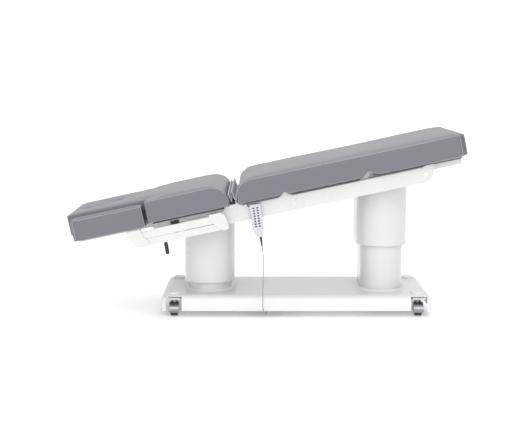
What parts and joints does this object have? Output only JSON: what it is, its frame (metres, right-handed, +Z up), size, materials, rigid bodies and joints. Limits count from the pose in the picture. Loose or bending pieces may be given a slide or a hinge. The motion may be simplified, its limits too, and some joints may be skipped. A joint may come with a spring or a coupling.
{
  "type": "examination couch",
  "caption": "Powered examination couch with two lifting columns, a tilted sectional grey cushion top, dropping armrests, castors and a hung hand control.",
  "frame": {"origin": "on the floor under the middle of the couch's plan", "axes": "+Z up, +X towards the foot end, -Y towards the side with the hand control"},
  "size_m": [1.9239, 0.766, 0.8971],
  "materials": {
    "enamel": "satin",
    "cover": "satin",
    "upholstery": "smooth grained",
    "board": "painted",
    "steel": "zinc plated",
    "black_steel": "satin",
    "black_plastic": "fine texture",
    "handset_case": "satin",
    "keypad": "membrane",
    "castor_hood": "polished",
    "cord": "matt",
    "tread": "matt"
  },
  "bodies": {
    "base": {"base_cover": "cover", "base_chassis": "black_steel", "cover_screws": "steel", "head_column_inner": "enamel", "foot_column_inner": "enamel", "column_collars": "cover", "lift_drives": "steel", "control_box": "black_plastic", "power_inlet": "black_plastic", "cord_gland": "black_plastic", "handset_cord": "cord"},
    "head_mid": {"head_column_mid": "enamel"},
    "foot_mid": {"foot_column_mid": "enamel"},
    "head_sleeve": {"head_column_sleeve": "enamel", "head_yoke": "black_steel"},
    "foot_sleeve": {"foot_column_sleeve": "enamel", "foot_yoke": "black_steel"},
    "frame": {"side_rails": "enamel", "cross_members": "enamel", "frame_pins": "steel", "seat_board": "board", "seat_cushion": "upholstery", "handset_hook": "steel", "actuator_housings": "steel"},
    "back": {"back_frame": "enamel", "back_board": "board", "back_cushion": "upholstery", "tube_plugs": "black_plastic", "arm_pivot_plates": "enamel"},
    "plug": {"face_plug": "upholstery"},
    "back_rod": {"back_actuator_rod": "steel"},
    "leg_rod": {"leg_actuator_rod": "steel"},
    "thigh": {"thigh_frame": "enamel", "thigh_board": "board", "thigh_cushion": "upholstery"},
    "calf": {"calf_frame": "enamel", "calf_board": "board", "calf_cushion": "upholstery"},
    "links": {"calf_links": "enamel"},
    "handset": {"handset_shell": "handset_case", "handset_keys": "keypad", "handset_relief": "black_plastic"},
    "arm_upper_near": {"arm_upper_link_near": "enamel"},
    "arm_lower_near": {"arm_lower_link_near": "enamel"},
    "arm_pad_near": {"arm_bracket_near": "enamel", "arm_pad_near": "upholstery"},
    "lever_near": {"arm_lever_near": "black_plastic"},
    "arm_upper_far": {"arm_upper_link_far": "enamel"},
    "arm_lower_far": {"arm_lower_link_far": "enamel"},
    "arm_pad_far": {"arm_bracket_far": "enamel", "arm_pad_far": "upholstery"},
    "lever_far": {"arm_lever_far": "black_plastic"},
    "castor_head_near": {"castor_fork_head_near": "castor_hood"},
    "wheel_head_near": {"castor_wheel_head_near": "tread"},
    "castor_head_far": {"castor_fork_head_far": "castor_hood"},
    "wheel_head_far": {"castor_wheel_head_far": "tread"},
    "castor_foot_near": {"castor_fork_foot_near": "castor_hood"},
    "wheel_foot_near": {"castor_wheel_foot_near": "tread"},
    "castor_foot_far": {"castor_fork_foot_far": "castor_hood"},
    "wheel_foot_far": {"castor_wheel_foot_far": "tread"}
  },
  "joints": [
    {"name": "column_lift", "type": "slide", "parent": "base", "child": "head_sleeve", "axis": [0, 0, 1], "range_m": [0, 0.2], "deforming": ["handset_cord"]},
    {"name": "head_mid_slide", "type": "slide", "parent": "base", "child": "head_mid", "axis": [0, 0, 1], "range_m": [0, 0.1]},
    {"name": "foot_mid_slide", "type": "slide", "parent": "base", "child": "foot_mid", "axis": [0, 0, 1], "range_m": [0, 0.2]},
    {"name": "frame_tilt", "type": "hinge", "parent": "head_sleeve", "child": "frame", "pos_m": [-0.2743, 0, 0.486], "axis": [0, 1, 0], "range_deg": [0, 12]},
    {"name": "foot_sleeve_slide", "type": "slide", "parent": "foot_mid", "child": "foot_sleeve", "axis": [0, 0, 1], "range_m": [-0.1818, 0]},
    {"name": "back_lift", "type": "hinge", "parent": "frame", "child": "back", "pos_m": [-0.15731, 0, 0.57528], "axis": [0, 1, 0], "range_deg": [0, 60]},
    {"name": "leg_lift", "type": "hinge", "parent": "frame", "child": "thigh", "pos_m": [0.09293, 0, 0.61006], "axis": [0, -1, 0], "range_deg": [0, 25]},
    {"name": "knee_hinge", "type": "hinge", "parent": "thigh", "child": "calf", "pos_m": [0.49106, 0, 0.709], "axis": [0, -1, 0], "range_deg": [-25, 0]},
    {"name": "calf_link_hinge", "type": "hinge", "parent": "frame", "child": "links", "pos_m": [0.14526, 0, 0.58029], "axis": [0, -1, 0], "range_deg": [0, 25]},
    {"name": "back_rod_slide", "type": "slide", "parent": "frame", "child": "back_rod", "axis": [-0.9781, 0, -0.2079], "range_m": [0, 0.0701]},
    {"name": "leg_rod_slide", "type": "slide", "parent": "frame", "child": "leg_rod", "axis": [0.9781, 0, 0.2079], "range_m": [0, 0.0174]},
    {"name": "face_plug_slide", "type": "slide", "parent": "back", "child": "plug", "axis": [-0.2079, 0, 0.9781], "range_m": [0, 0.12]},
    {"name": "arm_drop_near", "type": "hinge", "parent": "back", "child": "arm_upper_near", "pos_m": [-0.21884, -0.359, 0.48961], "axis": [0, -1, 0], "range_deg": [0, 22]},
    {"name": "arm_lower_pivot_near", "type": "hinge", "parent": "back", "child": "arm_lower_near", "pos_m": [-0.19004, -0.359, 0.45995], "axis": [0, -1, 0], "range_deg": [0, 22]},
    {"name": "arm_pad_pivot_near", "type": "hinge", "parent": "arm_upper_near", "child": "arm_pad_near", "pos_m": [-0.59836, -0.359, 0.40894], "axis": [0, -1, 0], "range_deg": [-22, 0]},
    {"name": "arm_release_near", "type": "hinge", "parent": "arm_lower_near", "child": "lever_near", "pos_m": [-0.47664, -0.3455, 0.39903], "axis": [0, 1, 0], "range_deg": [0, 18], "stiffness_Nm_per_rad": 1.5, "springref_deg": -11.46},
    {"name": "arm_drop_far", "type": "hinge", "parent": "back", "child": "arm_upper_far", "pos_m": [-0.21884, 0.359, 0.48961], "axis": [0, -1, 0], "range_deg": [0, 22]},
    {"name": "arm_lower_pivot_far", "type": "hinge", "parent": "back", "child": "arm_lower_far", "pos_m": [-0.19004, 0.359, 0.45995], "axis": [0, -1, 0], "range_deg": [0, 22]},
    {"name": "arm_pad_pivot_far", "type": "hinge", "parent": "arm_upper_far", "child": "arm_pad_far", "pos_m": [-0.59836, 0.359, 0.40894], "axis": [0, -1, 0], "range_deg": [-22, 0]},
    {"name": "arm_release_far", "type": "hinge", "parent": "arm_lower_far", "child": "lever_far", "pos_m": [-0.47664, 0.3455, 0.39903], "axis": [0, 1, 0], "range_deg": [0, 18], "stiffness_Nm_per_rad": 1.5, "springref_deg": -11.46},
    {"name": "handset_hang", "type": "hinge", "parent": "frame", "child": "handset", "pos_m": [-0.04651, -0.34, 0.54464], "axis": [0, 1, 0], "range_deg": [-12, 0]},
    {"name": "swivel_head_near", "type": "hinge", "parent": "base", "child": "castor_head_near", "pos_m": [-0.4431, -0.215, 0.07], "axis": [0, 0, 1], "continuous": true},
    {"name": "roll_head_near", "type": "hinge", "parent": "castor_head_near", "child": "wheel_head_near", "pos_m": [-0.4431, -0.235, 0.031], "axis": [1, 0, 0], "continuous": true},
    {"name": "swivel_head_far", "type": "hinge", "parent": "base", "child": "castor_head_far", "pos_m": [-0.4431, 0.215, 0.07], "axis": [0, 0, 1], "continuous": true},
    {"name": "roll_head_far", "type": "hinge", "parent": "castor_head_far", "child": "wheel_head_far", "pos_m": [-0.4431, 0.235, 0.031], "axis": [1, 0, 0], "continuous": true},
    {"name": "swivel_foot_near", "type": "hinge", "parent": "base", "child": "castor_foot_near", "pos_m": [0.7489, -0.215, 0.07], "axis": [0, 0, 1], "continuous": true},
    {"name": "roll_foot_near", "type": "hinge", "parent": "castor_foot_near", "child": "wheel_foot_near", "pos_m": [0.7489, -0.235, 0.031], "axis": [1, 0, 0], "continuous": true},
    {"name": "swivel_foot_far", "type": "hinge", "parent": "base", "child": "castor_foot_far", "pos_m": [0.7489, 0.215, 0.07], "axis": [0, 0, 1], "continuous": true},
    {"name": "roll_foot_far", "type": "hinge", "parent": "castor_foot_far", "child": "wheel_foot_far", "pos_m": [0.7489, 0.235, 0.031], "axis": [1, 0, 0], "continuous": true}
  ],
  "couplings": [
    {"joint": "head_mid_slide", "follows": "column_lift", "ratio": 0.5},
    {"joint": "foot_mid_slide", "follows": "column_lift", "ratio": 1},
    {"joint": "foot_sleeve_slide", "follows": "frame_tilt", "m_per_rad": -0.86712},
    {"joint": "handset_hang", "follows": "frame_tilt", "ratio": -1},
    {"joint": "knee_hinge", "follows": "leg_lift", "ratio": -1},
    {"joint": "calf_link_hinge", "follows": "leg_lift", "ratio": 1},
    {"joint": "back_rod_slide", "follows": "back_lift", "m_per_rad": 0.066845},
    {"joint": "leg_rod_slide", "follows": "leg_lift", "m_per_rad": 0.039683},
    {"joint": "arm_lower_pivot_near", "follows": "arm_drop_near", "ratio": 1},
    {"joint": "arm_pad_pivot_near", "follows": "arm_drop_near", "ratio": -1},
    {"joint": "arm_lower_pivot_far", "follows": "arm_drop_far", "ratio": 1},
    {"joint": "arm_pad_pivot_far", "follows": "arm_drop_far", "ratio": -1}
  ]
}
